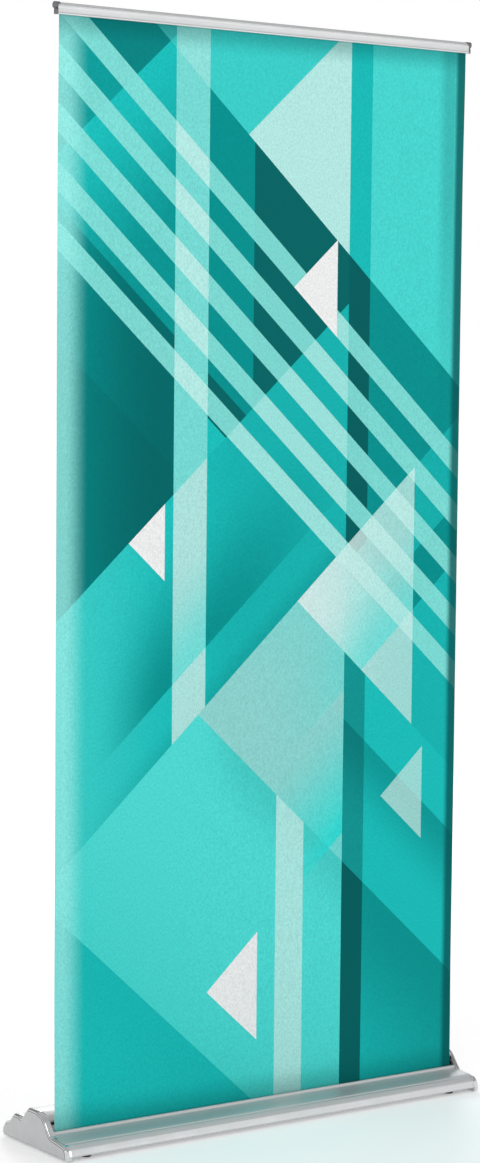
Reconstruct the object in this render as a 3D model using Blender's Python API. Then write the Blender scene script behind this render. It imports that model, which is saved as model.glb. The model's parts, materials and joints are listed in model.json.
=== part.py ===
"""Roll-up banner stand with a wide cassette base, a snap rail and a telescopic pole.

Units are metres, +Z is up, the front faces -Y and X runs along the cassette. The design is drawn in
the axes of the empty "stand": y = 0 there is the plane of the hanging banner and z = 0 is the floor.
The empty is shifted so that the world origin lies on the floor under the middle of the base.
"""

import math
from math import cos, pi, radians, sin, tan

import bmesh
import bpy
from mathutils import Vector

# ---------------------------------------------------------------- driving dimensions
BANNER_WIDTH = 0.914
BANNER_THICKNESS = 0.0004
VISIBLE_HEIGHT = 1.978          # printed face between the cassette's lip and the rail
GAP = 0.0003                    # clearance between faces that touch on the real stand

SIDE_MARGIN = 0.0105            # cassette past the banner's edge, on each side
WALL = 0.0016                   # wall of the extrusions
CAP_DEPTH = 0.0085              # how far an end cap stands out past the extrusions
FRONT_REACH = 0.0715            # base in front of the banner's plane
REAR_REACH = 0.1555             # base behind it
SKIRT_BOTTOM = 0.0085           # underside of the extrusions above the floor
CAP_BOTTOM = 0.0010

PLATE_THICKNESS = 0.0020        # steel floor plate
END_PLATE_THICKNESS = 0.0025

FOOT_RADIUS = 0.0100
FOOT_INSET_X = 0.0495           # foot centre from the end of the extrusion
FOOT_FRONT_Y = -0.0450
FOOT_REAR_Y = 0.1280

TUBE_RADIUS = 0.0150            # roller
TUBE_WALL = 0.0012
WRAP_DEPTH = 0.0006             # film left on the roller when the banner is up
ROLLER_Z = 0.0345
AXLE_RADIUS = 0.0030

POLE_RADIUS = 0.0095            # lower section; each next one is thinner by POLE_STEP
POLE_STEP = 0.0015
POLE_WALL = 0.0010
SECTION_OVERLAP = 0.0620
POLE_Y = 0.0505                 # the upright pole's axis, clear of the full roll
SOCKET_WALL = 0.0018

RAIL_MARGIN = 0.0040            # rail past the banner's edge
TUBE_MARGIN = 0.0020            # roller past the banner's edge
RAIL_HEIGHT = 0.0212
BULB_RADIUS = 0.0052
PIN_Y = 0.0180                  # pin of the pole's head, where it holds the rail

BODY_HALF = BANNER_WIDTH / 2 + SIDE_MARGIN
RAIL_HALF = BANNER_WIDTH / 2 + RAIL_MARGIN
TUBE_HALF = BANNER_WIDTH / 2 + TUBE_MARGIN
POLE_RADII = [POLE_RADIUS - i * POLE_STEP for i in range(3)]

LIP_Z = 0.0410                  # top of the apron's lip, where the banner leaves the cassette
HUMP_TOP = 0.0715
PLATE_BOTTOM = SKIRT_BOTTOM + WALL + GAP
PLATE_TOP = PLATE_BOTTOM + PLATE_THICKNESS

ROLL_RADIUS = TUBE_RADIUS + GAP + WRAP_DEPTH
ROLLER_Y = BANNER_THICKNESS / 2 + GAP + ROLL_RADIUS
RAIL_BOTTOM = LIP_Z + VISIBLE_HEIGHT
BULB_Z = RAIL_BOTTOM + RAIL_HEIGHT - BULB_RADIUS

# ---------------------------------------------------------------- colours
PAINTS = {
    "anodised": ((0.78, 0.79, 0.80), 0.35, 1.0),
    "chrome": ((0.72, 0.73, 0.74), 0.15, 1.0),
    "steel": ((0.55, 0.56, 0.58), 0.40, 1.0),
    "rubber": ((0.03, 0.03, 0.03), 0.90, 0.0),
    "dark_plastic": ((0.16, 0.17, 0.17), 0.50, 0.0),
    "film": ((0.62, 0.64, 0.65), 0.60, 0.0),
    "print": ((0.06, 0.60, 0.58), 0.65, 0.0),
}


def paint(name):
    material = bpy.data.materials.get(name)
    if material is None:
        colour, roughness, metallic = PAINTS[name]
        material = bpy.data.materials.new(name)
        material.use_nodes = True
        shader = material.node_tree.nodes["Principled BSDF"]
        shader.inputs["Base Color"].default_value = (*colour, 1.0)
        shader.inputs["Roughness"].default_value = roughness
        shader.inputs["Metallic"].default_value = metallic
    return material


# ---------------------------------------------------------------- scene
for old in list(bpy.data.objects):
    bpy.data.objects.remove(old)

parts = bpy.data.collections.new("roll_up_banner_stand")
cutters = bpy.data.collections.new("cutters")
for collection in (parts, cutters):
    bpy.context.scene.collection.children.link(collection)


def new_empty(name, parent, location, rotation=(0, 0, 0)):
    empty = bpy.data.objects.new(name, None)
    parts.objects.link(empty)
    empty.parent = parent
    empty.location = location
    empty.rotation_euler = rotation
    return empty


stand = new_empty("stand", None, (0, (FRONT_REACH - REAR_REACH) / 2, 0))


def new_object(name, bm, parent, location=(0, 0, 0), rotation=(0, 0, 0), finish="anodised"):
    """The bmesh as a finished part, shaded smooth except over its sharp edges."""
    mesh = bpy.data.meshes.new(name)
    bm.to_mesh(mesh)
    bm.free()
    mesh.shade_smooth()
    mesh.set_sharp_from_angle(angle=radians(35))
    part = bpy.data.objects.new(name, mesh)
    part.parent = parent
    part.location = location
    part.rotation_euler = rotation
    if finish is None:
        cutters.objects.link(part)
        part.hide_render = True
        part.display_type = "WIRE"
    else:
        parts.objects.link(part)
        mesh.materials.append(paint(finish))
    return part


def combine(part, other, operation):
    change = part.modifiers.new(operation.lower(), "BOOLEAN")
    change.operation = operation
    change.object = other
    change.solver = "EXACT"


# ---------------------------------------------------------------- outlines in a (y, z) plane
def arc(centre, radius, start, end, steps):
    """Points on a circle between two angles in degrees, both ends included."""
    return [
        Vector((centre[0] + radius * cos(a), centre[1] + radius * sin(a)))
        for a in (radians(start + (end - start) * i / steps) for i in range(steps + 1))
    ]


def corners_of(points):
    """Outline points as corners that aren't rounded."""
    return [(p[0], p[1], 0) for p in points]


def rounded(corners, closed=True, steps=4):
    """Corners (y, z, radius) as outline points, each corner turned by an arc of that radius."""
    outline = []
    last = len(corners) - 1
    for i, (y, z, radius) in enumerate(corners):
        here = Vector((y, z))
        if radius == 0 or (not closed and i in (0, last)):
            outline.append(here)
            continue
        back = (Vector(corners[i - 1][:2]) - here).normalized()
        on = (Vector(corners[(i + 1) % len(corners)][:2]) - here).normalized()
        turn = pi - back.angle(on)
        centre = here + (back + on).normalized() * radius / cos(turn / 2)
        first = here + back * radius * tan(turn / 2) - centre
        way = 1 if back.x * on.y - back.y * on.x < 0 else -1
        for k in range(steps + 1):
            a = way * turn * k / steps
            outline.append(
                centre + Vector((first.x * cos(a) - first.y * sin(a), first.x * sin(a) + first.y * cos(a)))
            )
    return outline


def inset(corners, depth, closed=True):
    """Corners moved to the right of their run by depth; seen from +X, that is inwards if clockwise."""
    moved = []
    last = len(corners) - 1
    for i, (y, z, radius) in enumerate(corners):
        here = Vector((y, z))
        back = (here - Vector(corners[i - 1][:2])).normalized()
        on = (Vector(corners[(i + 1) % len(corners)][:2]) - here).normalized()
        if not closed and i == 0:
            back = on
        if not closed and i == last:
            on = back
        inward = Vector((back.y + on.y, -back.x - on.x)).normalized()
        shift = depth / inward.dot(Vector((on.y, -on.x)))
        convex = back.x * on.y - back.y * on.x < 0
        new_radius = max(radius - depth, 0.0004) if convex else radius + depth
        moved.append((*(here + inward * shift), new_radius if radius else 0))
    return moved


def walled(run):
    """The closed outline of a wall whose outer face is that open run."""
    outer = rounded(run, closed=False, steps=3)
    inner = rounded(inset(run, WALL, closed=False), closed=False, steps=3)
    return outer + inner[::-1]


# ---------------------------------------------------------------- shapes
def ring(bm, outline, x):
    """A closed loop of edges at that x; returns its edges."""
    verts = [bm.verts.new((x, p[0], p[1])) for p in outline]
    return [bm.edges.new((verts[i - 1], verts[i])) for i in range(len(verts))]


def close_up(bm):
    bmesh.ops.remove_doubles(bm, verts=bm.verts, dist=1e-6)
    bmesh.ops.recalc_face_normals(bm, faces=bm.faces)
    return bm


def prism(outline, x_low, x_high):
    """A closed outline extruded along X."""
    bm = bmesh.new()
    face = bm.faces.new([bm.verts.new((x_low, p[0], p[1])) for p in outline])
    grown = bmesh.ops.extrude_face_region(bm, geom=[face])
    verts = [g for g in grown["geom"] if isinstance(g, bmesh.types.BMVert)]
    bmesh.ops.translate(bm, verts=verts, vec=(x_high - x_low, 0, 0))
    return close_up(bm)


def block(low, high, bevel=0.0):
    """A box between two corners, with its edges softened."""
    bm = bmesh.new()
    bmesh.ops.create_cube(bm, size=1.0)
    size = [b - a for a, b in zip(low, high)]
    middle = [(a + b) / 2 for a, b in zip(low, high)]
    bmesh.ops.scale(bm, vec=size, verts=bm.verts)
    bmesh.ops.translate(bm, vec=middle, verts=bm.verts)
    if bevel:
        bmesh.ops.bevel(bm, geom=bm.edges, offset=bevel, segments=1, profile=0.5, affect="EDGES", material=-1)
    return close_up(bm)


def rod(radius, low, high, sides=24):
    """A cylinder on the Z axis between two heights."""
    bm = bmesh.new()
    bmesh.ops.create_cone(
        bm, cap_ends=True, segments=sides, radius1=radius, radius2=radius, depth=high - low
    )
    bmesh.ops.translate(bm, vec=(0, 0, (low + high) / 2), verts=bm.verts)
    return close_up(bm)


def turned(profile, sides=24):
    """A closed (radius, height) profile spun round the Z axis."""
    bm = bmesh.new()
    verts = [bm.verts.new((max(r, 0.0), 0, z)) for r, z in profile]
    edges = [bm.edges.new((verts[i - 1], verts[i])) for i in range(len(verts))]
    edges = [e for e in edges if max(v.co.x for v in e.verts) > 0]
    bmesh.ops.spin(
        bm, geom=verts + edges, axis=(0, 0, 1), cent=(0, 0, 0), angle=2 * pi, steps=sides, use_merge=True
    )
    loose = [v for v in bm.verts if not v.link_faces]
    bmesh.ops.delete(bm, geom=loose, context="VERTS")
    return close_up(bm)


def pipe(outer, inner, low, high, sides=24):
    return turned([(inner, high), (outer, high), (outer, low), (inner, low)], sides)


ALONG_X = (0, pi / 2, 0)        # turns a part made on Z to lie along +X


def screw(name, head, shank, head_high, length, parent, location, rotation):
    """A pan-head screw: the head's underside is at its origin and the shank points down -Z."""
    chamfer = head * 0.3
    profile = [
        (0, head_high),
        (head - chamfer, head_high),
        (head, head_high - chamfer),
        (head, 0),
        (shank, 0),
        (shank, -length + shank),
        (0, -length),
    ]
    return new_object(name, turned(profile, 12), parent, location, rotation, "steel")


# ---------------------------------------------------------------- cassette outlines
# The cap's outline is the largest section of the base, and what is inside it is an inset of it.
CAP_OUTLINE = [
    (-0.0700, CAP_BOTTOM, 0.0015),
    (-FRONT_REACH, 0.0105, 0.0100),
    (-0.0672, 0.0225, 0.0070),
    (-0.0600, 0.0290, 0.0080),
    (-0.0340, 0.0325, 0.0300),
    (-0.0145, 0.0348, 0.0080),
    (-0.0035, 0.0480, 0.0300),
    (0.0050, 0.0590, 0.0250),
    (0.0145, 0.0672, 0.0150),
    (0.0310, HUMP_TOP + 0.0010, 0.0200),
    (0.0650, HUMP_TOP + 0.0010, 0.0060),
    (0.0875, 0.0485, 0.0020),
    (0.0970, 0.0506, 0.0060),
    (0.1155, 0.0510, 0.0060),
    (0.1325, 0.0328, 0.0030),
    (0.1445, 0.0312, 0.0080),
    (0.1540, 0.0185, 0.0080),
    (REAR_REACH, 0.0085, 0.0060),
    (0.1500, CAP_BOTTOM, 0.0040),
]

# Outer faces of the extrusions, as open runs from front to rear; the wall lies on the inner side.
APRON_RUN = [
    (-0.0575, SKIRT_BOTTOM, 0),
    (-0.0698, SKIRT_BOTTOM, 0.0010),
    (-0.0705, 0.0105, 0.0020),
    (-0.0662, 0.0222, 0.0070),
    (-0.0588, 0.0288, 0.0050),
    (-0.0552, 0.0292, 0.0008),
    (-0.0540, 0.0312, 0.0022),
    (-0.0475, 0.0325, 0.0080),
    (-0.0210, 0.0338, 0.0120),
    (-0.0090, 0.0362, 0.0030),
    (-0.0068, LIP_Z, 0.0012),
    (-0.0035, LIP_Z, 0),
]
LIP_LEG_RUN = [
    (-0.0035, LIP_Z - 0.0008, 0),
    (-0.0035, PLATE_TOP + GAP, 0.0020),
    (-0.0180, PLATE_TOP + GAP, 0),
]
HOUSING_RUN = [
    (0.0155, 0.0548, 0),
    (0.0098, 0.0545, 0.0018),
    (0.0086, 0.0590, 0.0050),
    (0.0165, 0.0663, 0.0100),
    (0.0320, HUMP_TOP, 0.0300),
    (0.0640, HUMP_TOP, 0.0050),
    (0.0868, 0.0472, 0.0020),
    (0.0975, 0.0496, 0.0050),
    (0.1145, 0.0500, 0.0050),
    (0.1315, 0.0318, 0.0025),
    (0.1435, 0.0302, 0.0070),
    (0.1530, 0.0180, 0.0070),
    (0.1547, 0.0100, 0.0020),
    (0.1540, SKIRT_BOTTOM, 0.0010),
    (0.1400, SKIRT_BOTTOM, 0),
]
PORTS = {                       # bosses inside the extrusions that the end plates are screwed to
    "front_apron": [(-0.0592, 0.0218)],
    "cassette_housing": [(0.0540, 0.0665), (0.1080, 0.0450)],
}
PORT_RADIUS = 0.0038
PORT_BORE = 0.0017
CAP_PEGS = [(-0.0400, 0.0200), (0.0900, 0.0300)]
PEG_RADIUS = 0.0025


def extrusion(name, runs):
    """Walled runs swept along the cassette and joined, with their screw ports."""
    part, *others = (
        new_object(name if i == 0 else f"{name}_{i}", prism(walled(run), -BODY_HALF, BODY_HALF), stand,
                   finish="anodised" if i == 0 else None)
        for i, run in enumerate(runs)
    )
    for other in others:
        combine(part, other, "UNION")
    for i, (y, z) in enumerate(PORTS[name]):
        boss = new_object(f"{name}_port_{i}", rod(PORT_RADIUS, -BODY_HALF, BODY_HALF, 12), stand,
                          (0, y, z), ALONG_X, None)
        bore = new_object(f"{name}_bore_{i}", rod(PORT_BORE, -BODY_HALF - 0.002, BODY_HALF + 0.002, 10),
                          stand, (0, y, z), ALONG_X, None)
        combine(part, boss, "UNION")
        combine(part, bore, "DIFFERENCE")
    return part


front_apron = extrusion("front_apron", [APRON_RUN, LIP_LEG_RUN])
housing = extrusion("cassette_housing", [HOUSING_RUN])

# ---------------------------------------------------------------- pole axis
# The pole stands upright behind the roller; heights on it are measured from its foot.
POLE_FOOT_Z = PLATE_TOP + 0.0030
HOOK_BOTTOM = RAIL_BOTTOM - 0.0070      # underside of the rail's hook plate
ARM_DROP = 0.0580                       # from there down to the upper section's mouth
POLE_TOP = HOOK_BOTTOM - GAP - ARM_DROP - POLE_FOOT_Z
MOUTH = HUMP_TOP - POLE_FOOT_Z
pole_axis = new_empty("pole_axis", stand, (0, POLE_Y, POLE_FOOT_Z))

SOCKET_INNER = POLE_RADII[0] + GAP
SOCKET_OUTER = SOCKET_INNER + SOCKET_WALL
hump_hole = new_object("hump_hole", rod(SOCKET_OUTER + GAP, MOUTH - 0.020, MOUTH + 0.020, 32), pole_axis,
                       finish=None)
combine(housing, hump_hole, "DIFFERENCE")

# The soft strip that hangs from the hump's front edge and keeps dust out of the slot.
strip_top = HOUSING_RUN[1][1] - GAP
roll_top = ROLLER_Z + ROLL_RADIUS
new_object("slot_strip", block((-BANNER_WIDTH / 2, 0.0100, roll_top + GAP), (BANNER_WIDTH / 2, 0.0114, strip_top)),
           stand, finish="rubber")

# ---------------------------------------------------------------- floor plate and feet
floor_plate = new_object(
    "floor_plate",
    block((-BODY_HALF + 0.0005, -0.0675, PLATE_BOTTOM), (BODY_HALF - 0.0005, 0.1510, PLATE_TOP), 0.0003),
    stand, finish="steel",
)
FOOT_SCREW_RADIUS = 0.0018
foot_profile = [
    (0.0045, 0.0),
    (FOOT_RADIUS - 0.0015, 0.0),
    (FOOT_RADIUS, 0.0015),
    (FOOT_RADIUS - 0.0008, PLATE_BOTTOM - GAP),
    (FOOT_SCREW_RADIUS + GAP, PLATE_BOTTOM - GAP),
    (FOOT_SCREW_RADIUS + GAP, 0.0050),
    (0.0045, 0.0050),
]
foot_x = BODY_HALF - FOOT_INSET_X
for side, x in (("left", -foot_x), ("right", foot_x)):
    for end, y in (("front", FOOT_FRONT_Y), ("rear", FOOT_REAR_Y)):
        new_object(f"foot_{end}_{side}", turned(foot_profile, 20), stand, (x, y, 0), finish="rubber")
        hole = new_object(f"foot_hole_{end}_{side}", rod(FOOT_SCREW_RADIUS + GAP, 0, 0.03, 12), stand, (x, y, 0),
                          finish=None)
        combine(floor_plate, hole, "DIFFERENCE")
        screw(f"foot_screw_{end}_{side}", 0.0036, FOOT_SCREW_RADIUS, 0.0018, 0.0110, stand,
              (x, y, 0.0050 - GAP), (pi, 0, 0))

# ---------------------------------------------------------------- end plates and end caps
PLATE_INSET = 0.0032
plate_start = BODY_HALF + GAP
plate_end = plate_start + END_PLATE_THICKNESS


def end_plate(name, side):
    """The pressed plate on the end of the extrusions: it joins them and holds the roller's axle."""
    outline = rounded(inset(CAP_OUTLINE, PLATE_INSET), steps=3)
    part = new_object(name, prism(outline, min(side * plate_start, side * plate_end),
                                  max(side * plate_start, side * plate_end)), stand, finish="steel")
    holes = [(AXLE_RADIUS + GAP, ROLLER_Y, ROLLER_Z)]
    holes += [(PORT_BORE, y, z) for run in PORTS.values() for y, z in run]
    holes += [(PEG_RADIUS + GAP, y, z) for y, z in CAP_PEGS]
    for i, (radius, y, z) in enumerate(holes):
        hole = new_object(f"{name}_hole_{i}", rod(radius, -0.01, 0.01, 16), stand,
                          (side * plate_start, y, z), ALONG_X, None)
        combine(part, hole, "DIFFERENCE")
    return part


def end_cap(name, side):
    """A moulded cap with a rounded rim, hollow behind so that it covers the end plate."""
    inner = BODY_HALF + GAP
    depth = CAP_DEPTH - GAP
    sections = [                # (share of the depth, inset) from the pocket's floor round to the face
        (0.62, 0.0030),
        (0.00, 0.0022),
        (0.00, 0.0000),
        (0.30, 0.0000),
        (0.62, 0.0012),
        (0.86, 0.0030),
        (1.00, 0.0050),
    ]
    bm = bmesh.new()
    loops = [
        ring(bm, rounded(inset(CAP_OUTLINE, d), steps=3), side * (inner + share * depth))
        for share, d in sections
    ]
    for first, second in zip(loops, loops[1:]):
        bmesh.ops.bridge_loops(bm, edges=first + second)
    bmesh.ops.contextual_create(bm, geom=loops[0])
    bmesh.ops.contextual_create(bm, geom=loops[-1])
    part = new_object(name, close_up(bm), stand, finish="chrome")
    floor = inner + 0.75 * depth
    for i, (y, z) in enumerate(CAP_PEGS):
        reach = floor - BODY_HALF + 0.0040
        peg = new_object(f"{name}_peg_{i}", rod(PEG_RADIUS, 0, reach, 12), stand,
                         (side * floor, y, z), (0, -side * pi / 2, 0), None)
        combine(part, peg, "UNION")
    return part


for label, side in (("left", -1), ("right", 1)):
    end_plate(f"end_plate_{label}", side)
    end_cap(f"end_cap_{label}", side)
    spots = [spot for run in PORTS.values() for spot in run]
    for i, (y, z) in enumerate(spots):
        screw(f"end_plate_screw_{label}_{i + 1}", 0.0026, 0.0013, 0.0018, 0.0140, stand,
              (side * (plate_end + GAP), y, z), (0, side * pi / 2, 0))

# ---------------------------------------------------------------- roller
roller = new_empty("roller_axis", stand, (0, ROLLER_Y, ROLLER_Z), ALONG_X)
HUB_LENGTH = 0.0180
HUB_FLANGE = 0.0020
BUSH_OUTER = 0.0050
SHAFT_REACH = 0.2300            # how far the spring's shaft runs in from the left end
SPRING_TURNS = 18
SPRING_RADIUS = 0.0085
WIRE_RADIUS = 0.0009
SPRING_SIDES = 10               # points of the coil in one turn
SPRING_SEAT = SPRING_RADIUS * cos(pi / SPRING_SIDES) - WIRE_RADIUS - GAP

tube_inner = TUBE_RADIUS - TUBE_WALL
new_object("roller_tube", pipe(TUBE_RADIUS, tube_inner, -TUBE_HALF, TUBE_HALF, 32), roller)
new_object("wound_film", pipe(ROLL_RADIUS, TUBE_RADIUS + GAP, -BANNER_WIDTH / 2, BANNER_WIDTH / 2, 32), roller,
           finish="film")

plug_radius = tube_inner * cos(pi / 32) - GAP
bush_inner = AXLE_RADIUS + GAP
hub_bore = BUSH_OUTER + GAP
for label, side in (("spring", -1), ("idle", 1)):
    turn = (0, 0, 0) if side == 1 else (pi, 0, 0)
    outer = TUBE_HALF + GAP + HUB_FLANGE
    hub_profile = [
        (hub_bore, outer),
        (TUBE_RADIUS, outer),
        (TUBE_RADIUS, TUBE_HALF + GAP),
        (plug_radius, TUBE_HALF + GAP),
        (plug_radius, TUBE_HALF - HUB_LENGTH),
        (hub_bore, TUBE_HALF - HUB_LENGTH),
    ]
    new_object(f"{label}_hub", turned(hub_profile), roller, rotation=turn, finish="dark_plastic")
    new_object(f"{label}_bush", pipe(BUSH_OUTER, bush_inner, TUBE_HALF - HUB_LENGTH + 0.002, outer), roller,
               rotation=turn, finish="steel")

axle_end = plate_end + 0.0010
collar_low = TUBE_HALF + HUB_FLANGE + 2 * GAP
collar_high = BODY_HALF


def axle(name, inner_end, side):
    """A fixed axle with a shoulder between the hub and the end plate."""
    profile = [
        (0, axle_end),
        (AXLE_RADIUS, axle_end),
        (AXLE_RADIUS, collar_high),
        (0.0048, collar_high),
        (0.0048, collar_low),
        (AXLE_RADIUS, collar_low),
        (AXLE_RADIUS, inner_end),
        (0, inner_end),
    ]
    turn = (0, 0, 0) if side == 1 else (pi, 0, 0)
    new_object(name, turned(profile, 20), roller, rotation=turn, finish="steel")


axle("idle_axle", TUBE_HALF - 0.0300, 1)
axle("spring_shaft", SHAFT_REACH, -1)

spring_low = -TUBE_HALF + 0.0450
spring_high = -SHAFT_REACH - 0.0300
new_object("spring_collar", pipe(SPRING_SEAT, bush_inner, spring_low - 0.012, spring_low + 0.010, 20), roller,
           finish="dark_plastic")
anchor_profile = [
    (bush_inner, spring_high + 0.0160),
    (plug_radius, spring_high + 0.0160),
    (plug_radius, spring_high + 0.0040),
    (SPRING_SEAT, spring_high + 0.0040),
    (SPRING_SEAT, spring_high - 0.0120),
    (bush_inner, spring_high - 0.0120),
]
new_object("spring_anchor", turned(anchor_profile, 20), roller, finish="dark_plastic")


def power_spring():
    """The torsion spring that winds the banner in, coiled round the fixed shaft."""
    curve = bpy.data.curves.new("power_spring", "CURVE")
    curve.dimensions = "3D"
    curve.bevel_depth = WIRE_RADIUS
    curve.bevel_resolution = 2
    curve.use_fill_caps = True
    count = SPRING_TURNS * SPRING_SIDES + 1
    line = curve.splines.new("POLY")
    line.points.add(count - 1)
    for i in range(count):
        angle = 2 * pi * i / SPRING_SIDES
        z = spring_low + (spring_high - spring_low) * i / (count - 1)
        line.points[i].co = (SPRING_RADIUS * cos(angle), SPRING_RADIUS * sin(angle), z, 1)
    part = bpy.data.objects.new("power_spring", curve)
    part.parent = roller
    parts.objects.link(part)
    curve.materials.append(paint("steel"))


power_spring()

# ---------------------------------------------------------------- pole
socket_foot = -0.0022
socket_profile = [
    (0, -GAP),
    (0, socket_foot),
    (SOCKET_OUTER, socket_foot),
    (SOCKET_OUTER, MOUTH + GAP),
    (SOCKET_OUTER + 0.0018, MOUTH + GAP),
    (SOCKET_OUTER + 0.0018, MOUTH + 0.0022),
    (SOCKET_OUTER + 0.0004, MOUTH + 0.0034),
    (SOCKET_INNER, MOUTH + 0.0034),
    (SOCKET_INNER, -GAP),
]
new_object("pole_socket", turned(socket_profile, 32), pole_axis, finish="dark_plastic")

SECTION_LENGTH = (POLE_TOP - 0.0020 + 2 * SECTION_OVERLAP) / 3
step = SECTION_LENGTH - SECTION_OVERLAP
starts = [0.0020, 0.0020 + step, 0.0020 + 2 * step]
ends = [start + SECTION_LENGTH for start in starts]
for label, radius, low, high in zip(("lower", "middle", "upper"), POLE_RADII, starts, ends):
    new_object(f"pole_{label}_tube", pipe(radius, radius - POLE_WALL, low, high), pole_axis)

plug = POLE_RADII[0] - POLE_WALL - GAP
foot_plug_profile = [
    (0, 0.0140),
    (plug * 0.98, 0.0140),
    (plug * 0.98, 0.0017),
    (POLE_RADII[0], 0.0017),
    (POLE_RADII[0], 0.0005),
    (POLE_RADII[0] - 0.0010, 0),
    (0, 0),
]
new_object("pole_foot_plug", turned(foot_plug_profile, 20), pole_axis, finish="dark_plastic")

# A guide bush on the lower end of each sliding section, and a twist collar with its split sleeve on
# the upper end of the section that it slides in.
COLLAR_LENGTH = 0.0440
COLLAR_GRIP = 0.0022
SLEEVE_LENGTH = 0.0160
FLUTES = 12


def guide_bush(name, tube_inner_radius, own_radius, own_wall, start):
    outer = tube_inner_radius * cos(pi / 24) - GAP
    stem = (own_radius - own_wall) * cos(pi / 24) - GAP
    profile = [
        (0, start + 0.0120),
        (stem, start + 0.0120),
        (stem, start - GAP),
        (outer, start - GAP),
        (outer, start - 0.0110),
        (outer - 0.0008, start - 0.0120),
        (0, start - 0.0120),
    ]
    new_object(name, turned(profile, 24), pole_axis, finish="dark_plastic")


def split_sleeve(name, big, small, top):
    """The ring that the collar squeezes onto the thinner tube, with a slit down one side."""
    part = new_object(name, pipe(big, small / cos(pi / 24) + GAP, top + GAP, top + GAP + SLEEVE_LENGTH), pole_axis,
                      finish="dark_plastic")
    slit = new_object(f"{name}_slit", block((-0.0008, 0, top - 0.01), (0.0008, 0.03, top + 0.04)), pole_axis,
                      finish=None)
    combine(part, slit, "DIFFERENCE")


def twist_collar(name, big, small, top):
    """A fluted hand grip that turns on the thicker tube's end."""
    low, high = top - COLLAR_LENGTH + SLEEVE_LENGTH + 0.004, top + SLEEVE_LENGTH + 0.004
    shoulder = top + SLEEVE_LENGTH + 3 * GAP
    outer = big + GAP + COLLAR_GRIP
    bm = bmesh.new()
    sides = FLUTES * 4
    bmesh.ops.create_cone(bm, cap_ends=True, segments=sides, radius1=outer, radius2=outer, depth=high - low)
    bmesh.ops.translate(bm, vec=(0, 0, (low + high) / 2), verts=bm.verts)
    for v in bm.verts:
        flute = 1 + 0.035 * cos(FLUTES * math.atan2(v.co.y, v.co.x))
        v.co.x *= flute
        v.co.y *= flute
    part = new_object(name, close_up(bm), pole_axis, finish="dark_plastic")
    wide = new_object(f"{name}_wide_bore", rod((big + GAP) / cos(pi / 32), low - 0.01, shoulder, 32), pole_axis,
                      finish=None)
    narrow = new_object(f"{name}_narrow_bore", rod((small + GAP) / cos(pi / 32), low, high + 0.01, 32),
                        pole_axis, finish=None)
    combine(part, wide, "DIFFERENCE")
    combine(part, narrow, "DIFFERENCE")


for label, i in (("middle", 1), ("upper", 2)):
    big, small = POLE_RADII[i - 1], POLE_RADII[i]
    where = {"middle": "lower", "upper": "upper"}[label]
    guide_bush(f"guide_bush_{label}", big - POLE_WALL, small, POLE_WALL, starts[i])
    split_sleeve(f"split_sleeve_{where}", big, small, ends[i - 1])
    twist_collar(f"twist_collar_{where}", big, small, ends[i - 1])

# ---------------------------------------------------------------- pole head and the rail's hook
# The head is an arm that reaches forward from the upper section; its pin stands in the rail's hook.
HEAD_PIN = 0.0038
HEAD_HALF = 0.0085
ARM_REACH = POLE_Y - PIN_Y
stem = (POLE_RADII[2] - POLE_WALL) * cos(pi / 24) - GAP
arm_top = POLE_TOP + ARM_DROP
arm_outline = rounded([
    (-ARM_REACH - 0.0075, arm_top, 0.0010),
    (-ARM_REACH + 0.0060, arm_top, 0.0060),
    (0.0085, arm_top - 0.0260, 0.0120),
    (0.0085, POLE_TOP + GAP, 0),
    (-0.0085, POLE_TOP + GAP, 0),
    (-0.0085, arm_top - 0.0370, 0.0100),
    (-ARM_REACH - 0.0075, arm_top - 0.0110, 0.0040),
])
head = new_object("pole_head", prism(arm_outline, -HEAD_HALF, HEAD_HALF), pole_axis, finish="dark_plastic")
head_stem = new_object("head_stem", rod(stem, POLE_TOP - 0.0300, POLE_TOP + 0.0100), pole_axis, finish=None)
head_pin = new_object("head_pin", rod(HEAD_PIN, arm_top - 0.0060, arm_top + 0.0140), pole_axis,
                      (0, -ARM_REACH, 0), finish=None)
combine(head, head_stem, "UNION")
combine(head, head_pin, "UNION")

JAW_OUTER = 0.0040              # outer faces of the jaws from the banner's plane
HOOK_HALF = 0.0200
hook_outline = rounded([
    (JAW_OUTER + GAP, RAIL_BOTTOM + 0.0010, 0),
    (JAW_OUTER + GAP, RAIL_BOTTOM + 0.0090, 0.0008),
    (0.0115, RAIL_BOTTOM + 0.0120, 0.0030),
    (0.0255, RAIL_BOTTOM + 0.0120, 0.0030),
    (0.0255, HOOK_BOTTOM, 0.0015),
    (0.0100, HOOK_BOTTOM, 0.0015),
    (0.0094, RAIL_BOTTOM - 0.0010, 0.0020),
], steps=2)
hook = new_object("rail_hook", prism(hook_outline, -HOOK_HALF, HOOK_HALF), stand, finish="dark_plastic")
pin_hole = new_object("pin_hole", rod(HEAD_PIN + GAP, -0.0100, 0.0140 + GAP), stand,
                      (0, PIN_Y, HOOK_BOTTOM), finish=None)
combine(hook, pin_hole, "DIFFERENCE")

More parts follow.
